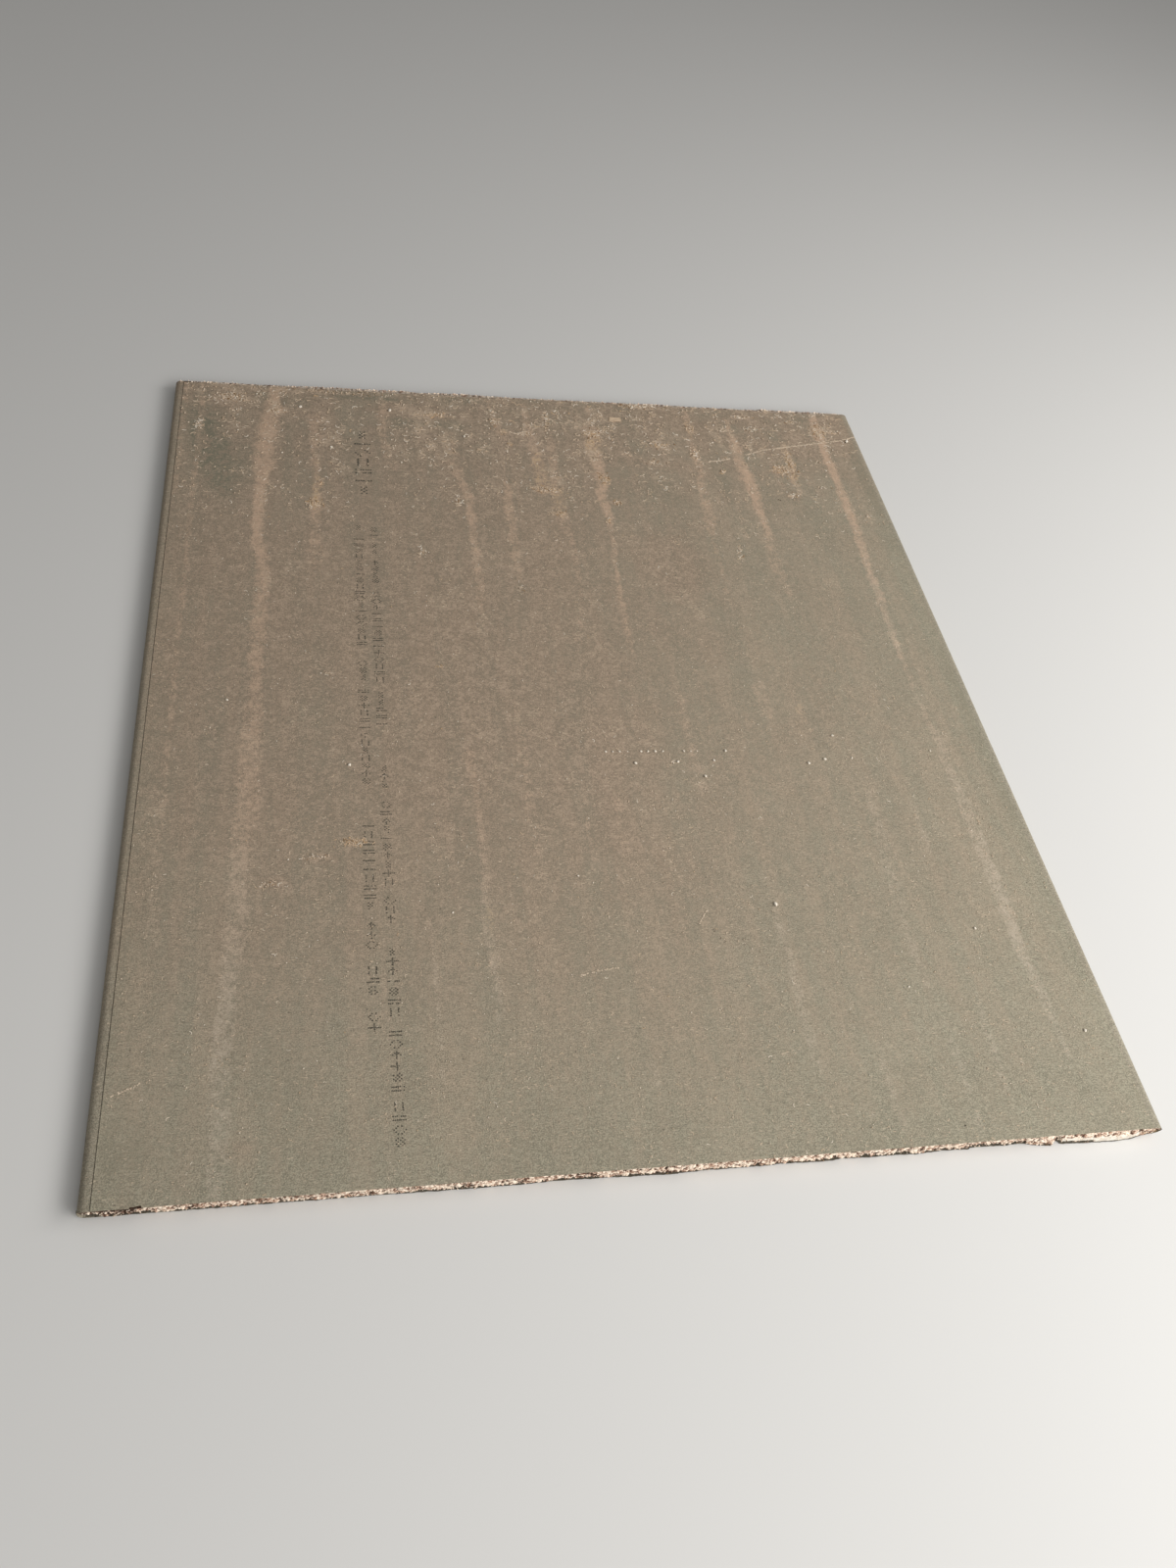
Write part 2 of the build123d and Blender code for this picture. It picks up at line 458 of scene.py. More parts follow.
# Dust lies in streaks along the board, thickest at the far end. Each one's points: from the left edge,
# from the near edge and its width, in millimetres, and its strength in percent.
streaks = (
    ((81, 702, 11, 80), (81, 682, 11, 85), (80, 668, 17, 90), (76.5, 650, 14, 95), (74, 620, 17, 90),
     (74, 590, 17, 95), (72, 560, 10, 95), (71, 535, 12, 95), (70.5, 515, 9, 100), (72.5, 498, 9, 95),
     (76, 478, 12, 75), (76, 440, 13, 62), (75, 400, 12, 55), (75, 350, 9, 42), (73, 295, 16, 50),
     (73, 255, 16, 50), (70, 210, 14, 50), (69, 160, 15, 40), (67, 130, 13, 42), (65, 98, 11, 36),
     (65, 55, 11, 30), (66, 22, 12, 36), (65, -5, 11, 20)),
    ((113, 700, 8, 30), (114, 676, 6, 10)),
    ((114, 662, 12, 60), (114, 635, 12, 45), (113, 605, 6, 40), (116, 575, 7, 70), (115, 543, 10, 80),
     (114, 520, 6, 45), (114, 490, 13, 35), (113, 462, 12, 10)),
    ((168, 695, 6, 35), (170, 672, 9, 45), (168, 640, 9, 35), (174, 600, 11, 25), (176, 585, 8, 5)),
    ((197, 645, 6, 25), (198, 580, 5, 10)),
    ((224, 645, 10, 20), (227, 600, 14, 40), (230, 580, 8, 65), (234, 565, 10, 65), (235, 525, 8, 70),
     (235, 500, 7, 60), (235, 440, 8, 40), (234, 415, 6, 10)),
    ((264, 695, 8, 30), (266, 672, 6, 30), (268, 648, 8, 55), (274, 635, 5, 30)),
    ((270, 582, 10, 60), (267, 560, 9, 70), (266, 520, 9, 65), (266, 480, 8, 30), (266, 450, 6, 5)),
    ((293, 690, 7, 45), (293, 650, 8, 60), (296, 625, 9, 55), (298, 600, 12, 65), (296, 568, 11, 45)),
    ((310, 690, 6, 30), (311, 650, 8, 35), (310, 610, 8, 50), (308, 575, 12, 45), (308, 545, 12, 40),
     (312, 510, 6, 30), (313, 460, 5, 15), (304, 400, 6, 20), (303, 340, 5, 5)),
    ((350, 702, 6, 40), (350, 672, 6, 45), (348, 655, 18, 75), (348, 625, 14, 80), (348, 605, 11, 95),
     (349, 588, 13, 85), (346, 570, 9, 85), (347, 552, 8, 70), (347, 535, 8, 75), (346.5, 525, 4, 40),
     (344, 480, 5, 55), (342, 420, 6, 45), (342, 378, 5, 10)),
    ((440, 700, 4, 35), (440, 678, 8, 70), (440, 662, 7, 70), (440, 650, 5, 40), (438.5, 632, 10, 70),
     (437, 605, 7, 55), (433.5, 570, 9, 50), (434, 540, 11, 60), (431, 525, 5, 35), (431, 480, 5, 20),
     (430, 435, 8, 15)),
    ((476, 685, 5, 50), (478, 672, 6, 60), (478, 650, 9, 80), (478, 620, 13, 95), (480, 590, 12, 100),
     (480, 560, 9, 90), (481, 535, 7, 70), (480, 515, 10, 45), (478, 490, 11, 35), (481, 450, 7, 20),
     (481, 425, 6, 5)),
    ((524, 650, 6, 50), (524, 630, 9, 65), (522, 605, 9, 60), (523, 580, 5, 20)),
    ((565, 702, 6, 85), (564, 685, 9, 80), (562, 668, 16, 95), (562, 650, 9, 100), (561, 600, 9, 85),
     (561, 550, 8, 75), (560, 510, 9, 80), (557, 490, 7, 75), (557, 455, 9, 70), (556, 420, 6, 60),
     (554.5, 380, 5, 35), (554, 335, 4, 25), (557, 300, 9, 33), (556.5, 220, 11, 27), (556, 165, 11, 50),
     (554, 125, 8, 45), (557, 90, 6, 35), (558, 45, 5, 15)),
    ((9, 700, 5, 50), (9, 600, 5, 35), (9, 540, 4, 10)),
    ((23, 700, 5, 35), (23, 640, 6, 40), (22, 480, 4, 35), (22, 300, 5, 20), (24, 140, 8, 15)),
    ((214, 292, 9, 35), (217, 250, 5, 30), (216, 160, 8, 42), (217, 90, 5, 20)),
    ((250.5, 335, 5, 25), (251, 240, 7, 30), (252, 180, 6, 25)),
    ((286.5, 250, 4, 25), (287, 190, 4, 15)),
    ((182, 160, 3, 25), (182, 50, 3, 15)),
    ((309, 250, 8, 25), (309, 195, 7, 15)),
    ((369.5, 350, 6, 25), (369.5, 250, 7, 20)),
    ((405, 250, 5, 30), (406, 205, 5, 20)),
    ((398, 170, 7, 15), (398, 60, 8, 22), (397, 42, 8, 5)),
    ((432, 355, 12, 35), (432, 322, 10, 25)),
    ((489, 255, 10, 16), (484, 180, 10, 15), (481, 120, 7, 16), (485, 80, 5, 8), (486, 55, 7, 22),
     (485, 5, 5, 15)),
    ((518, 240, 5, 30), (518, 200, 5, 15)),
    ((513, 112, 5, 10), (510, 55, 7, 20), (509, 20, 5, 8)),
    ((438.5, 60, 5, 15), (438.5, 8, 5, 15)),
    ((301, 62, 5, 20), (301, 15, 4, 10)),
    ((456, 345, 6, 30), (459, 320, 8, 30)),
)
# Smears of dust: middle, half widths, turn in degrees and strength in percent.
smears = (
    (200, 672, 62, 7, -2, 32), (47, 680, 20, 12, 0, 40), (60, 697, 60, 4, -3, 45), (84, 664, 11, 5, 0, 60),
    (488, 687, 16, 3, 12, 50), (573, 673, 20, 4, -14, 40), (408, 641, 11, 4, 0, 45), (393, 616, 9, 4, 20, 40),
    (511, 612, 9, 9, 0, 40), (517, 576, 7, 6, 0, 35), (300, 575, 16, 6, 0, 40), (355, 560, 8, 4, 35, 45),
    (88, 189, 14, 3, 8, 30), (116, 207, 13, 5, 10, 22), (400, 697, 30, 4, -4, 40), (75, 26, 16, 9, 0, 20),
    (300, 640, 22, 30, 0, 25), (390, 485, 36, 50, 0, 20), (540, 650, 20, 26, 0, 15), (120, 640, 14, 30, 0, 20),
)
# Patches where the paper shows darker and greener, given in the same way.
darker_green_places = (
    (34, 612, 19, 76, 12, 130), (100, 678, 14, 12, 0, 80), (190, 656, 24, 9, 0, 80), (226, 656, 22, 8, 0, 80),
    (60, 600, 8, 42, 0, 50), (150, 690, 56, 5.5, 0, 85), (240, 692, 38, 5, 0, 75), (92, 600, 6, 60, 0, 30),
    (455, 600, 9, 42, 0, 35), (590, 610, 9, 70, 0, 45), (405, 575, 26, 24, 0, 30), (385, 690, 24, 5, 0, 35),
    (500, 575, 12, 20, 0, 30), (330, 690, 12, 6, 0, 35), (455, 688, 10, 8, 0, 35), (545, 690, 14, 7, 0, 40),
    (140, 600, 12, 40, 0, 20), (590, 300, 8, 120, 0, 25), (20, 30, 16, 22, 0, 30), (95, 60, 18, 40, 0, 20),
)


@cache
def streak_at(x, y):
    """How strongly a streak of dust shows at a point, from 0 to 1."""
    most = 0
    bend = 0.8 * noise_at(x, y, 14) + 0.7 * noise_at(x, y, 5)
    spread = 1 + 0.35 * noise_at(x + 90, y, 9)
    for points in streaks:
        start_y, stop_y = points[0][1], points[-1][1]
        if not stop_y - 6 < y < start_y + 6 or abs(x - points[0][0]) > 26:
            continue
        ends = soft_step(y, stop_y - 6, stop_y + 4) * (1 - soft_step(y, start_y - 3, start_y + 6))
        for (x0, y0, width0, strength0), (x1, y1, width1, strength1) in zip(points, points[1:]):
            if (y <= y0 or y0 == start_y) and (y1 <= y or y1 == stop_y):
                share = min(max((y - y1) / (y0 - y1), 0), 1)
                away = abs(x - bend - x1 - share * (x0 - x1))
                width = spread * (width1 + share * (width0 - width1))
                strength = (strength1 + share * (strength0 - strength1)) / 100 * ends
                most = max(most, strength * (1 - soft_step(away, 0.22 * width, 0.68 * width)))
    return most * (1.15 - 0.15 * soft_step(y, 250, 450)) * (1 + 0.25 * noise_at(x, y + 70, 7))


def patch_at(patches, x, y):
    """How strongly patches with soft edges show at a point."""
    total = 0
    for middle_x, middle_y, half_x, half_y, turn, strength in patches:
        if abs(x - middle_x) < half_x + half_y and abs(y - middle_y) < half_x + half_y:
            turned = Vector((x - middle_x, y - middle_y))
            turned.rotate(Matrix.Rotation(radians(-turn), 2))
            away = hypot(turned.x / half_x, turned.y / half_y)
            total += strength / 100 * (1 - soft_step(away, 0.45, 1.1))
    return total


# The film's strength across the board from its left edge, and along it from its near edge.
film_across = (
    (0, 0.78), (30, 0.82), (100, 0.86), (200, 0.88), (300, 0.88), (400, 0.66), (500, 0.56), (575, 0.46),
    (600, 0.12),
)
film_along = ((0, 0.32), (30, 0.47), (100, 0.68), (200, 0.9), (300, 1), (700, 1))


@cache
def film_at(x, y):
    """How much of the paper's green the dust film covers at a point, from 0 to 1."""
    far = soft_step(y, 520, 680)
    base = along_line(film_across, x) * along_line(film_along, y)
    base += far * (0.84 - base + 0.3 * noise_at(x, y, 22)) * (1 - 0.5 * soft_step(x, 585, 600))
    return base + 0.08 * noise_at(x, y, 60) + 0.07 * noise_at(x, y, 21) + patch_at(smears, x, y)


# Places with yellow sawdust: middle and half widths.
yellow_places = (
    (524, 620, 9, 34), (511, 612, 9, 11), (297, 595, 11, 30), (308, 560, 10, 22), (116, 560, 7, 24),
    (348, 640, 12, 16), (352, 590, 7, 9), (459, 330, 8, 10), (440, 668, 8, 12), (218, 160, 5, 12),
)


def yellow_at(x, y):
    """Where the dust is yellow sawdust, from 0 to 1."""
    return max(1 - soft_step(hypot((x - px) / rx, (y - py) / ry), 0.5, 1.2) for px, py, rx, ry in yellow_places)


def darker_green_at(x, y):
    """How strongly the paper shows darker and greener at a point, from 0 to 1."""
    return min(patch_at(darker_green_places, x, y), 1) * (0.9 + 0.45 * noise_at(x, y, 11)) * (1 - streak_at(x, y))


def litter_at(x, y):
    """How thickly shavings and grains lie at a point, from 0 to 1."""
    far = (0.13 * soft_step(y, 330, 540) + 0.34 * soft_step(y, 540, 690)) * (0.55 + 0.45 * soft_step(x, 60, 280))
    thick = 0.15 + 0.2 * film_at(x, y) + 0.45 * streak_at(x, y) + far
    patch = 0.22 + 2.3 * max(0.32 + noise_at(x, y, 30), 0) * max(0.3 + 1.5 * noise_at(x, y, 7), 0)
    return thick * patch * soft_step(x, 2, 12) * (1 - 0.7 * soft_step(x, 570, 592))


dust_layers = {"film": film_at, "streak": streak_at, "yellow": yellow_at, "litter": litter_at, "rubbed": darker_green_at}


def dust(piece, cover, shade_and_dirt_at=lambda place: 0):
    """Paints the dust's layers on a piece, where cover(place) lets them lie, and the painted shade and dirt in its
    seams.
    """
    for name, amount_at in dust_layers.items():

        def amount(place):
            share = cover(place)
            return share and share * amount_at(from_left(place.x), (place.y + knife_y) / MM)

        paint_on(piece, name, amount)
    paint_on(piece, "dirt", shade_and_dirt_at)


def strands(tree, place, turn, scale, *detail):
    """A noise stretched into strands that lie at an angle."""
    stretch = {"Vector": place, "Rotation": (0, 0, turn), "Scale": scale}
    return cloud(tree, add_node(tree, "Mapping", stretch).outputs[0], 1, *detail)


tree, place, given, result = shader_group("paper_grain", Light="Color", Dark="Color")
fibres = 0
for turn in (0.45, -0.8, 1.6):
    strand = strands(tree, place, turn, (260, 1700, 500))
    fibres = weigh(tree, (fibres, 1), (rise(tree, strand, 0.4, 0.62), 0.33))
speckle = rise(tree, cloud(tree, place, 1400, 2, 0.7), 0.34, 0.66)
pulp = rise(tree, cloud(tree, place, 560, 2, 0.6), 0.34, 0.66)
drift = rise(tree, cloud(tree, place, 22, 4, 0.6), 0.3, 0.7)
mottle = weigh(tree, (fibres, 0.24), (speckle, 0.52), (pulp, 0.16), (drift, 0.08))
paper_colour = mix(tree, rise(tree, mottle, 0.12, 0.88), given["Dark"], given["Light"])
tree.links.new(paper_colour, result["Colour"])
tree.links.new(weigh(tree, (fibres, 0.5), (speckle, 0.5)), result["Height"])

values = {name.title(): "Float" for name in dust_layers}
tree, place, given, result = shader_group("dust_film", Paper="Color", **values)
powder = rise(tree, cloud(tree, place, 1250, 2, 0.7), 0.34, 0.66)
clot = rise(tree, cloud(tree, place, 470, 2, 0.65), 0.34, 0.66)
flake = rise(tree, cloud(tree, place, 130, 3, 0.65), 0.34, 0.66)
band = rise(tree, strands(tree, place, 0, (85, 5, 20), 3, 0.6), 0.33, 0.67)
film_sum = weigh(tree, (given["Film"], 1), (powder, 0.03), (clot, 0.05), (flake, 0.1), (band, 0.2))
film_amount = rise(tree, film_sum, 0.1, 1.3)
film_tone = weigh(tree, (powder, 0.52), (clot, 0.26), (flake, 0.1), (band, 0.12))
lightness = rise(tree, film_tone, 0.15, 0.85)
thin_colour = mix(tree, lightness, paint(133, 119, 101), paint(175, 156, 134))
deep_colour = mix(tree, lightness, paint(134, 119, 101), paint(166, 146, 125))
film_colour = mix(tree, rise(tree, given["Film"], 0.5, 0.9), thin_colour, deep_colour)
filmed = mix(tree, film_amount, given["Paper"], film_colour)
darker_green_amount = times(tree, given["Rubbed"], rise(tree, flake, 0, 0.6))
rubbed = mix(tree, darker_green_amount, filmed, paint(124, 119, 101))
thick_sum = weigh(tree, (given["Film"], 1), (powder, 0.3), (clot, 0.35), (flake, 0.3))
thick = mix(tree, rise(tree, thick_sum, 1.25, 2), rubbed, paint(180, 159, 137))
lump = cloud(tree, place, 340, 3, 0.7)
lump_sum = weigh(tree, (lump, 1), (clot, 0.08), (given["Litter"], 0.2))
lump_there = rise(tree, lump_sum, 0.62, 0.76)
lump_amount = times(tree, lump_there, rise(tree, given["Litter"], 0, 0.9))
lumpy = mix(tree, times(tree, lump_amount, 0.3), thick, paint(190, 169, 145))
streak_sum = weigh(tree, (given["Streak"], 1.25), (powder, 0.5), (clot, 0.5), (flake, 0.5))
streak_amount = times(tree, rise(tree, streak_sum, 0.66, 2.52), rise(tree, given["Streak"], 0.02, 0.2))
from_middle = add_node(tree, "SeparateXYZ", {"Vector": place}).outputs["Y"]
warmth = rise(tree, weigh(tree, (given["Film"], 1), (from_middle, 1.2)), 0.1, 0.85)
plain_colour = mix(tree, warmth, paint(186, 172, 153), paint(193, 165, 140))
yellow_amount = times(tree, given["Yellow"], rise(tree, clot, 0.2, 1.6))
streak_colour = mix(tree, yellow_amount, plain_colour, paint(196, 169, 126))
streaked = mix(tree, streak_amount, lumpy, streak_colour)
strokes = 0
for turn in (0.35, 1.4, 2.45):
    stroke = strands(tree, place, turn, (300, 1000, 500), 1)
    strokes = times(tree, strokes, stroke, "MAXIMUM")
stroke_amount = rise(tree, weigh(tree, (strokes, 1), (given["Litter"], 0.11)), 0.72, 0.79)
stroked = mix(tree, times(tree, stroke_amount, 0.6), streaked, paint(203, 182, 157))
pit_tone, pit_edge = cells(tree, place, 330)
pit_there = times(tree, pit_tone, 0.975, "GREATER_THAN")
pit_amount = times(tree, pit_there, rise(tree, pit_edge, 0.24, 0.1))
pitted = mix(tree, times(tree, pit_amount, 0.55), stroked, paint(82, 76, 66))
tree.links.new(pitted, result["Colour"])
tree.links.new(weigh(tree, (streak_amount, 0.4), (powder, 0.4), (stroke_amount, 0.8)), result["Height"])


def paper_material(name, light, dark):
    """Liner paper with its fibres, its dust, and the painted shade and dirt in its seams and on its torn edges."""
    material, tree, shader, place = new_material(name, 0.88)
    grain = use_group(tree, "paper_grain", {"Place": place, "Light": light, "Dark": dark})
    layers = {layer.title(): painted(tree, layer) for layer in dust_layers}
    dusted = use_group(tree, "dust_film", {"Place": place, "Paper": grain["Colour"], **layers})
    # Painted shade: the seam and the torn edges are darkened to a dark brown that stands in for their shadow, with
    # a little dirt.
    dirt = times(tree, painted(tree, "dirt"), rise(tree, cloud(tree, place, 180), 0.15, 0.4))
    tree.links.new(mix(tree, dirt, dusted["Colour"], paint(58, 51, 42)), shader.inputs["Base Color"])
    height = weigh(tree, (grain["Height"], 0.6), (dusted["Height"], 0.6))
    raise_surface(tree, shader, height, 0.22 * MM)
    return material


def cover_wrap(place):
    """Dust lies on the wrapped paper's upper side, thins round the bend and is gone underneath."""
    return 0.8 * soft_step(place.z, 0.45 * wrap_high.z, 0.97 * wrap_high.z)


def wrap_shade_and_dirt(place):
    """Painted shade along the left seam, where the back paper's edge shades the lap, and painted shadow with some
    dirt on the torn edges and on the inner side of the torn ends.
    """
    seam = abs(place.x + back_high.x) < 0.35 * MM and place.z > 0.9 * wrap_high.z
    torn = abs(place.y) > 0.9993 * knife_y and place.z < 0.9 * wrap_high.z
    torn = torn or (abs(place.y) > 0.984 * knife_y and 0.2 * MM < place.z < 0.5 * MM)
    return 0.85 if seam else 0.75 * torn


dust(face_paper, cover_wrap, wrap_shade_and_dirt)
face_paper.data.materials.append(paper_material("face_liner_paper", paint(167, 159, 140), paint(121, 115, 99)))
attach(face_paper, "root")
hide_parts("face_liner")

# The back paper: a flat sheet of the same liner glued over the core and both laps, which stops short of
# the long edges and leaves a thin seam there. The knife cut it straight at both ends, and it has come
# up and torn a little near the left corner.
column_pitch = 1.6 * MM
row_pitch = 5.6 * MM
edge_cuts = 3
back_width, back_length = 2 * back_high.x, 2 * knife_y
columns, rows = round(back_width / column_pitch), round(back_length / row_pitch)
back_paper = grid("back_paper", columns, rows, (back_width, back_length, 1), location=(0, 0, back_high.z))
choose(back_paper, lambda place: abs(place.y) > knife_y - hair)
bpy.ops.mesh.subdivide(number_cuts=edge_cuts)
set_mode(mode="OBJECT")

# The tear runs from 20 to 31 mm from the left edge, deeper to the right, and the paper curls up there.
tear_start, tear_stop, tear_depth = 20, 31, 1.1
cut_edge = back_paper.vertex_groups.new(name="cut_edge")
for vertex in back_paper.data.vertices:
    if abs(vertex.co.y) > knife_y - hair:
        cut_edge.add([vertex.index], 1, "REPLACE")
        across = from_left(vertex.co.x)
        if vertex.co.y < 0 and tear_start < across < tear_stop:
            vertex.co.y += tear_depth * MM * (across - tear_start) / (tear_stop - tear_start)
        if vertex.co.y > 0:
            vertex.co.y -= (0.3 + 0.65 * along_line(far_line, across)) * MM
roughen(back_paper, "", 0.1, 45, direction="Z", middle=1)
roughen(back_paper, "cut_edge", 0.3, 1.6)
roughen(back_paper, "cut_edge", 0.35, 14)
for across, lift, radius in ((27, 0.45, 9), (14, 0.3, 7), (552, 0.2, 5)):
    pull(back_paper, Vector((x_of(across), -knife_y, back_high.z)), (0, 0, lift * MM), radius * MM)
thicken(back_paper, paper_thickness)
bpy.ops.object.shade_smooth_by_angle(angle=radians(50))
dust(back_paper, lambda place: 1)
back_paper.data.materials.append(paper_material("back_liner_paper", paint(168, 161, 140), paint(122, 117, 100)))
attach(back_paper, "root")
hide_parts("back_liner")

# Guide marks: the works printed two rows of dots along the board's back, and one larger row at the far
# end. The ink is thin and grey, some of its dots are missing, and the dust lies over them.
symbols = (
    lambda i, j: i == 2,
    lambda i, j: i in (1, 3),
    lambda i, j: j in (1, 5),
    lambda i, j: i == 2 or j == 3,
    lambda i, j: j == 3 or (abs(j - 3) == i and i < 3),
    lambda i, j: abs(i - 2) + abs(j - 3) == 3,
    lambda i, j: (i + j) % 2 == 0 and 0 < j < 6,
    lambda i, j: (i + j) % 2 == 0 and j in (2, 3, 4),
)
symbol_dots = [[(i, j) for i in range(5) for j in range(7) if there(i, j)] for there in symbols]
blank = []
cell_pitch = 6.6
missing_share = 0.1
small_gap, large_gap = 1.07, 1.95
# Each row of marks: its middle, the gap between its dots, and where its blocks start and end.
mark_rows = (
    (152, large_gap, ((640, 540),)),
    (146.5, small_gap, ((520, 388), (375, 260), (240, 165), (160, 140), (130, 112), (100, 85))),
    (158, small_gap, ((525, 505), (500, 450), (445, 350), (345, 305), (280, 257), (250, 157), (142, 50), (46, 17))),
)
draw = random.Random(11)
bpy.ops.mesh.primitive_cylinder_add(vertices=7, radius=0.52 * MM, depth=0.05 * MM)
dot = bpy.context.object


def strewn(name, shape, spots):
    """One piece made of copies of a shape, each turned, sized and put at its spot, with a tone of its own."""
    copies = []
    for matrix, tone in spots:
        copy = shape.copy()
        copy.data = shape.data.copy()
        copy.data.transform(matrix)
        paint_on(copy, "tone", lambda place: tone)
        bpy.context.scene.collection.objects.link(copy)
        copies.append(copy)
    bpy.ops.object.select_all(action="DESELECT")
    for copy in copies:
        copy.select_set(True)
    bpy.context.view_layer.objects.active = copies[0]
    bpy.ops.object.join()
    piece = bpy.context.object
    piece.name = name
    return piece


def on_board(across, along, height=0):
    """A place on the back paper: millimetres from its left and near edges, and metres above it."""
    return Vector((x_of(across), along * MM - knife_y, back_high.z + height))


dot_spots = []
for row_x, gap, blocks in mark_rows:
    scale = gap / small_gap
    for y, stop_y in blocks:
        while y > stop_y + cell_pitch * scale * 0.6:
            for i, j in draw.choice([*symbol_dots, blank]):
                if draw.random() > missing_share:
                    jitter = Vector((draw.uniform(-0.12, 0.12), draw.uniform(-0.12, 0.12), 0)) * MM
                    spot = on_board(row_x + (j - 3) * gap, y - i * gap, -0.005 * MM) + jitter
                    size = scale * draw.uniform(0.8, 1.1)
                    dot_spots.append((Matrix.LocRotScale(spot, None, Vector((size, size, 1))), 0))
            y -= cell_pitch * scale
marks = strewn("printed_marks", dot, dot_spots)
dust(marks, lambda place: 0.18)
marks.data.materials.append(paper_material("worn_ink", paint(92, 88, 76), paint(60, 57, 50)))
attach(marks, "root")
bpy.data.objects.remove(dot)

# Sawdust: grains, curls and splinters of wood and gypsum lie on the board, most of them at the far end
# and on the streaks, with some heaps where they were swept or dropped.
bpy.ops.mesh.primitive_ico_sphere_add(subdivisions=1, radius=0.5 * MM)
grain_shape = bpy.context.object
set_mode(mode="EDIT")
bpy.ops.transform.vertex_random(offset=0.16 * MM, seed=4)
bpy.ops.transform.resize(value=(1, 0.8, 0.6))
set_mode(mode="OBJECT")


def shaving(length, width, thickness, bend, segments):
    """A thin strip of wood, in millimetres, bent flat on the board through an angle in degrees."""
    strip = grid("shaving", segments, 1, (length * MM, width * MM, 1))
    set_mode(mode="OBJECT")
    curve = strip.modifiers.new("curve", "SIMPLE_DEFORM")
    curve.deform_method = "BEND"
    curve.deform_axis = "Z"
    curve.angle = radians(bend)
    bpy.ops.object.modifier_apply(modifier=curve.name)
    thicken(strip, thickness * MM)
    return strip


curl_shape = shaving(3, 0.32, 0.22, 150, 5)
splinter_shape = shaving(1.9, 0.26, 0.2, 35, 2)

# Heaps: middle, half widths, how many bits, and how far from white gypsum to orange wood, in percent.
heaps = (
    (47, 681, 15, 8, 90, 45), (137, 219, 9, 3.5, 70, 100), (118, 571, 2.5, 4, 14, 100), (114, 546, 6, 5, 55, 95),
    (511, 612, 7, 8, 80, 80), (524, 622, 4, 20, 70, 85), (349, 652, 9, 7, 60, 75), (351, 590, 5, 6, 40, 85),
    (300, 573, 12, 4, 60, 75), (307, 543, 6, 3, 30, 90), (215, 669, 13, 3, 55, 80), (271, 650, 4, 4, 20, 90),
    (275, 634, 2, 4, 10, 90), (114, 208, 11, 3, 26, 45), (88, 189, 9, 2.5, 22, 50), (408, 640, 9, 4, 36, 50),
    (395, 616, 8, 2.5, 22, 45), (354, 280, 4, 3, 10, 10), (515, 577, 4, 3, 16, 50), (200, 371, 3, 2, 10, 90),
    (357, 559, 5, 4, 18, 80), (347, 535, 3, 3, 12, 90), (492, 688, 10, 2, 36, 50), (22, 641, 4, 6, 18, 30),
    (226, 553, 2.5, 6, 18, 15), (264, 668, 5, 18, 46, 40), (310, 668, 3, 9, 20, 10), (83, 664, 8, 4, 40, 55),
    (561, 672, 9, 10, 70, 70), (290, 648, 6, 2, 18, 50), (440, 668, 4, 7, 34, 75), (437, 632, 5, 7, 30, 60),
    (575, 671, 12, 1.5, 30, 50), (540, 684, 6, 2, 14, 30), (500, 671, 9, 4, 30, 30), (458, 606, 2, 3, 12, 100),
    (120, 363, 7, 2, 10, 50), (150, 695, 70, 4, 60, 50), (395, 697, 20, 4, 60, 45),
    (266, 453, 3, 6, 12, 20), (195, 492, 3, 5, 12, 20), (450, 500, 2, 9, 12, 20), (577, 552, 3, 2, 6, 0),
)
# White grains: place and size.
white_spots = (
    (136, 281, 1.5), (57, 338, 1.3), (275, 189, 1), (195, 165, 1), (327, 280, 1.6), (357, 281, 1.4),
    (383, 282, 1.2), (374, 268, 1.6), (451.5, 278.5, 1.6), (464.5, 282, 1.7), (485, 283, 1), (476, 304, 1.4),
    (399, 163, 2), (528.5, 139.5, 1.4), (470, 100, 1), (575, 64, 1.5), (393, 290.5, 1.4), (547, 289, 1.1),
    (102, 671, 2), (176, 672, 2.2), (127, 618, 1.6), (237, 640, 1.5), (307.6, 290.5, 1.2), (312.6, 290.5, 1.1),
    (317.4, 290.5, 1.2), (323, 290.5, 0.7), (332.6, 290.5, 1.2), (337.4, 290.5, 1.1), (342.6, 290.5, 1.3),
    (348, 290.5, 1.1), (363, 290.5, 1.1), (368, 290.5, 0.8), (372.6, 290.5, 0.7), (587, 658, 2.2),
)
white, brown, dark = 0, 1.5, 2
brown_share = 0.14
kinds = ("grain", "splinter", "curl")
bit_spots = {kind: [] for kind in kinds}


def placed(spot, turn, size, flatness=1):
    """The matrix that turns, sizes and places a copy."""
    return Matrix.LocRotScale(spot, turn, Vector((size, size, flatness * size)))


def drop(kind, across, along, size, tone, flatness=1):
    """Adds a bit of dust that lies on the board at a turn of its own."""
    turn = Euler((draw.gauss(0, 0.12), draw.gauss(0, 0.12), draw.uniform(0, 2 * pi))).to_quaternion()
    height = (0.2 if kind == "grain" else 0.1) * size * flatness * MM
    bit_spots[kind].append((placed(on_board(across, along, height), turn, size, flatness), tone))


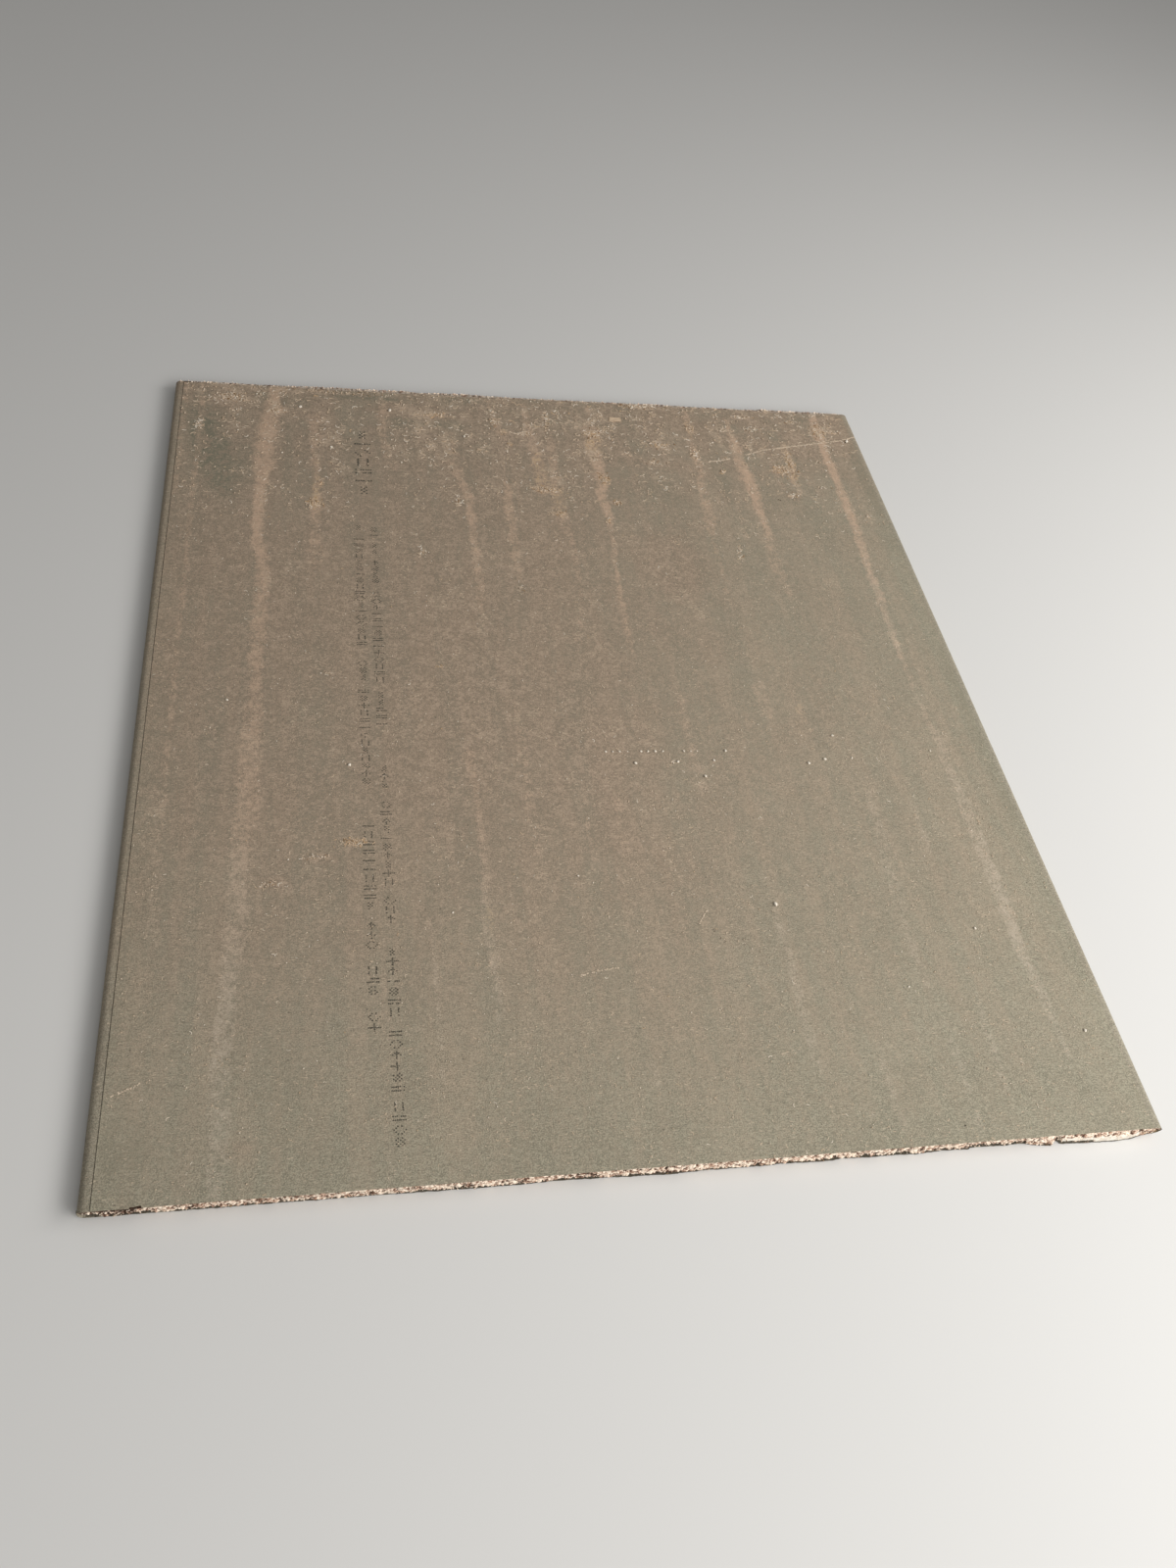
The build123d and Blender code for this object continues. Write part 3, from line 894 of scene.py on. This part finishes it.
lone_bits = 7400
while lone_bits:
    across, along = draw.uniform(1.5, 598), draw.uniform(0.5, 699)
    if 7.5 < across < 592.5 and draw.random() < 0.03 + 1.2 * litter_at(across, along):
        far = soft_step(along, 460, 660)
        kind = draw.choices(kinds, (0.58 - 0.25 * far, 0.27, 0.15 + 0.25 * far))[0]
        size = draw.uniform(0.5, 1.1) * (1 + 0.9 * far)
        tone = draw.gauss(0.34 + 0.2 * yellow_at(across, along), 0.15)
        drop(kind, across, along, size, min(max(tone, 0.12), 1))
        lone_bits -= 1
for middle_x, middle_y, half_x, half_y, number, wood_share in heaps:
    for _ in range(round(1.25 * number)):
        kind = draw.choices(kinds, (0.35, 0.3, 0.35))[0]
        across = middle_x + draw.gauss(0, 0.5) * half_x
        along = min(middle_y + draw.gauss(0, 0.5) * half_y, 698)
        plain = draw.random() >= brown_share
        tone = min(max(draw.gauss(0.16 + 0.4 * (wood_share / 100), 0.19), 0.1), 1) if plain else brown
        drop(kind, across, along, draw.uniform(0.9, 1.9) * (1 if along > 480 else 0.75), tone)
for across, along, size in white_spots:
    drop("grain", across, along, 1.65 * size, white)
dark_spots = (
    (421, 176, 0.7), (558, 90, 0.7), (476, 10, 1), (586, 262, 0.7), (579, 45, 0.8), (64, 261, 0.8), (117, 213, 0.8),
    (502, 570, 1.3), (500.5, 571, 1.2), (586, 657, 1.4), (532, 630, 0.9), (310, 676, 1.4), (309, 668, 1.5),
    (311, 660, 1.3),
)
for across, along, size in dark_spots:
    drop("grain", across, along, size, dark)
for across, along in ((355, 145), (358, 140), (360, 137), (419, 261), (128, 605), (93, 605), (95, 590)):
    drop("splinter", across, along, 0.8, dark)
# Pale scratches: the points that each runs through.
scratches = (
    ((448, 620), (459, 622), (470, 626)),
    ((485, 632), (503, 640), (530, 647), (560, 654), (580, 659), (597, 666)),
    ((267, 118), (278, 121), (291, 122.5)),
    ((9, 59), (17, 62), (25, 66)),
    ((346, 151), (353, 160)),
    ((276, 650), (283, 647.5), (291, 652)),
)
for points in scratches:
    for (x0, y0), (x1, y1) in zip(points, points[1:]):
        for _ in range(int(hypot(x1 - x0, y1 - y0) / (0.65 if y0 < 300 else 0.42))):
            share = draw.random()
            place_x = x0 + share * (x1 - x0) + draw.gauss(0, 0.25)
            place_y = y0 + share * (y1 - y0) + draw.gauss(0, 0.25)
            drop("grain", place_x, place_y, draw.uniform(0.8, 1.3) * (1 if y0 < 300 else 1.4), 0.3, 0.35)

wood_dust, tree, shader, place = new_material("sawdust", 0.85)
tone = painted(tree, "tone")
cream = mix(tree, rise(tree, tone, 0, 0.4), paint(238, 228, 211), paint(208, 186, 160))
wood = mix(tree, rise(tree, tone, 0.5, 1), cream, paint(206, 168, 122))
# Tones near 2 turn dark brown: dark grains on the board, and painted shade on the short paper curls at the near
# end.
wood = mix(tree, rise(tree, tone, 1.4, 1.6), wood, paint(58, 47, 37))
shaded = mix(tree, 0.25, wood, paint(120, 98, 78))
wood_colour = mix(tree, rise(tree, cloud(tree, place, 900), 0.3, 0.7), shaded, wood)
tree.links.new(wood_colour, shader.inputs["Base Color"])
shapes = {"grain": grain_shape, "curl": curl_shape, "splinter": splinter_shape}
for kind, shape in shapes.items():
    bits = strewn("sawdust_" + kind, shape, bit_spots[kind])
    bits.data.materials.append(wood_dust)
    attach(bits, "root")

# Crumbs and torn fibres: gypsum crumbs hang on both broken ends and lie in the crumbled corner, and
# curls of torn paper stand out of the near end.
crumb_spots = []


def crumb(across, out, z, size, side, tone):
    """Adds a crumb on a broken end, at a distance out from the break."""
    x = x_of(across)
    y = broken_end(x, max(z, 0.4) * MM, side) + side * out * MM
    turn = Euler([draw.uniform(0, 2 * pi) for _ in range(3)]).to_quaternion()
    crumb_spots.append((placed(Vector((x, y, z * MM)), turn, size), tone))


# Near crumbs along the end and in its corner: how many, then limits of place, reach, height, size and tone. Tones
# below 0 are painted shade, which darkens the crumbs in the corner.
near_crumbs = (
    (420, (6, 596), (-0.1, 0.35), (0.8, 8.4), (0.5, 1.3), (0, 0.7)),
    (60, (2, 14), (-0.4, 0.8), (0.8, 8.4), (0.8, 2.2), (-0.8, 0.7)),
)
for number, *limits in near_crumbs:
    for _ in range(number):
        across, out, z, size, tone = (draw.uniform(*pair) for pair in limits)
        crumb(across, out, z, size, -1, tone)
for _ in range(620):
    across = draw.uniform(3, 597)
    if draw.random() < 0.25 + 0.4 * along_line(far_line, across):
        out, z, size = draw.uniform(-1.1, 0.4), draw.uniform(8.5, 9.4), draw.uniform(0.7, 1.8)
        crumb(across, out, z, size, 1, draw.uniform(0.6, 1))
crumbs = strewn("gypsum_crumbs", grain_shape, crumb_spots)
crumb_gypsum, tree, shader, place = new_material("crumb_gypsum", 0.95)
# The crumbs' tone stands in for the relief, so low tones get the painted shade of the hollows.
grain = use_group(tree, "gypsum_grain", {"Place": place, "Relief": painted(tree, "tone"), "Fresh": 0})
tree.links.new(grain["Colour"], shader.inputs["Base Color"])
crumbs.data.materials.append(crumb_gypsum)
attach(crumbs, "root")

# Curls of paper on the near end: from the left edge, how far they stand out, above the face, and size.
hooks = (
    (130, 2.4, 3.4, 1.6), (196, 1.6, 2.6, 1.2), (323, 1.5, 2.8, 1.1), (357, 1.8, 3, 1.3), (443, 1.4, 2.2, 0.9),
    (73, 0.6, 1.5, 1), (300, 0.7, 1.6, 0.8), (390, 0.8, 1.6, 1), (411, 0.8, 1.8, 0.9), (527, 0.6, 1.4, 0.9),
    (18, 2.5, 4.5, 1.2), (12, 1.8, 3.5, 1.1), (590, 1.2, 3.5, 1.2), (596, 0.9, 5.5, 1.3),
)
# Curls that stand out far are pale. The short ones get painted shade, in dark brown.
pale_fibre, shaded_fibre = 0.3, 1.48
hook_spots = []
for across, out, z, size in hooks:
    x = x_of(across)
    spot = Vector((x, broken_end(x, z * MM, -1) - 0.5 * out * MM, z * MM))
    turn = Euler((draw.uniform(-0.5, 0.5), draw.uniform(0.9, 1.5), draw.uniform(1.2, 1.9))).to_quaternion()
    hook_spots.append((placed(spot, turn, size), pale_fibre if out > 1.2 else shaded_fibre))
for across in (24, 46, 152, 161, 166, 320, 354, 356, 367, 410, 517):
    x = x_of(across)
    spot = Vector((x, broken_end(x, 8.4 * MM, 1) + 0.3 * MM, 8.8 * MM))
    turn = Euler((draw.uniform(-0.5, 0.5), draw.uniform(-0.9, -0.3), draw.uniform(1, 2.2))).to_quaternion()
    hook_spots.append((placed(spot, turn, draw.uniform(0.7, 1.2)), draw.uniform(0.1, 0.4)))
torn_fibres = strewn("torn_fibres", curl_shape, hook_spots)
torn_fibres.data.materials.append(wood_dust)
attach(torn_fibres, "root")
for shape in shapes.values():
    bpy.data.objects.remove(shape)

# The chip: a flat chip split off a plank, rough on all its sides. It lies loose on the board near the
# far end.
bpy.ops.mesh.primitive_cube_add(size=1, location=on_board(373, 675, 0.35 * MM), rotation=(0.03, 0.04, -0.08))
chip = bpy.context.object
chip.name = "wood_chip"
set_mode(mode="EDIT")
bpy.ops.transform.resize(value=(10.5 * MM, 5.6 * MM, 0.6 * MM))
bpy.ops.mesh.subdivide(number_cuts=4)
bpy.ops.transform.vertex_random(offset=0.35 * MM, seed=2)
set_mode(mode="OBJECT")
bpy.ops.object.transform_apply()
paint_on(chip, "tone", lambda place: 0.62)
chip.data.materials.append(wood_dust)
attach(chip, "root")

# The studio: a plain pale floor under the board, a long soft lamp to its right, a broad one in front, and
# a camera that looks down on the board from in front, a little turned about its own axis.
bpy.ops.mesh.primitive_plane_add(size=14, location=(0, 0, -0.0003))
floor = bpy.context.object
floor.name = "floor"
floor_material, tree, shader, place = new_material("pale_floor", 0.9)
shader.inputs["Base Color"].default_value = paint(210, 208, 204)
floor.data.materials.append(floor_material)

scene = bpy.context.scene
world = bpy.data.worlds.new("studio")
scene.world = world
world.use_nodes = True
background = world.node_tree.nodes["Background"].inputs
background["Color"].default_value = (1, 1, 1, 1)
background["Strength"].default_value = 0.26

# Each lamp: its place, what it looks at, its length and height, and its power.
lamps = (
    ("key", (1.15, -0.6, 0.85), (0.2, -0.1, 0), 2, 0.6, 27),
    ("front", (0.5, -1.6, 1), (0.1, -0.1, 0), 1.4, 0.9, 11),
)
for name, spot, target, length, height, power in lamps:
    light = bpy.data.lights.new(name, "AREA")
    light.shape = "RECTANGLE"
    light.size = length
    light.size_y = height
    light.energy = power
    lamp = bpy.data.objects.new(name, light)
    lamp.location = spot
    lamp.rotation_euler = (Vector(target) - Vector(spot)).to_track_quat("-Z", "Y").to_euler()
    scene.collection.objects.link(lamp)

frame_height = 1600
focal_pixels = 1247.6
camera_place = Vector((-0.1729, -0.5849, 0.6323))
camera_target = Vector((-0.0085, -0.0873, 0.0095))
camera_roll = radians(13.447)
camera_data = bpy.data.cameras.new("camera")
camera_data.lens = camera_data.sensor_width * focal_pixels / frame_height
camera = bpy.data.objects.new("camera", camera_data)
camera.location = camera_place
camera.rotation_mode = "QUATERNION"
aim = (camera_target - camera_place).to_track_quat("-Z", "Y")
camera.rotation_quaternion = aim @ Quaternion((0, 0, 1), camera_roll)
scene.collection.objects.link(camera)
scene.camera = camera
scene.view_settings.view_transform = "Standard"
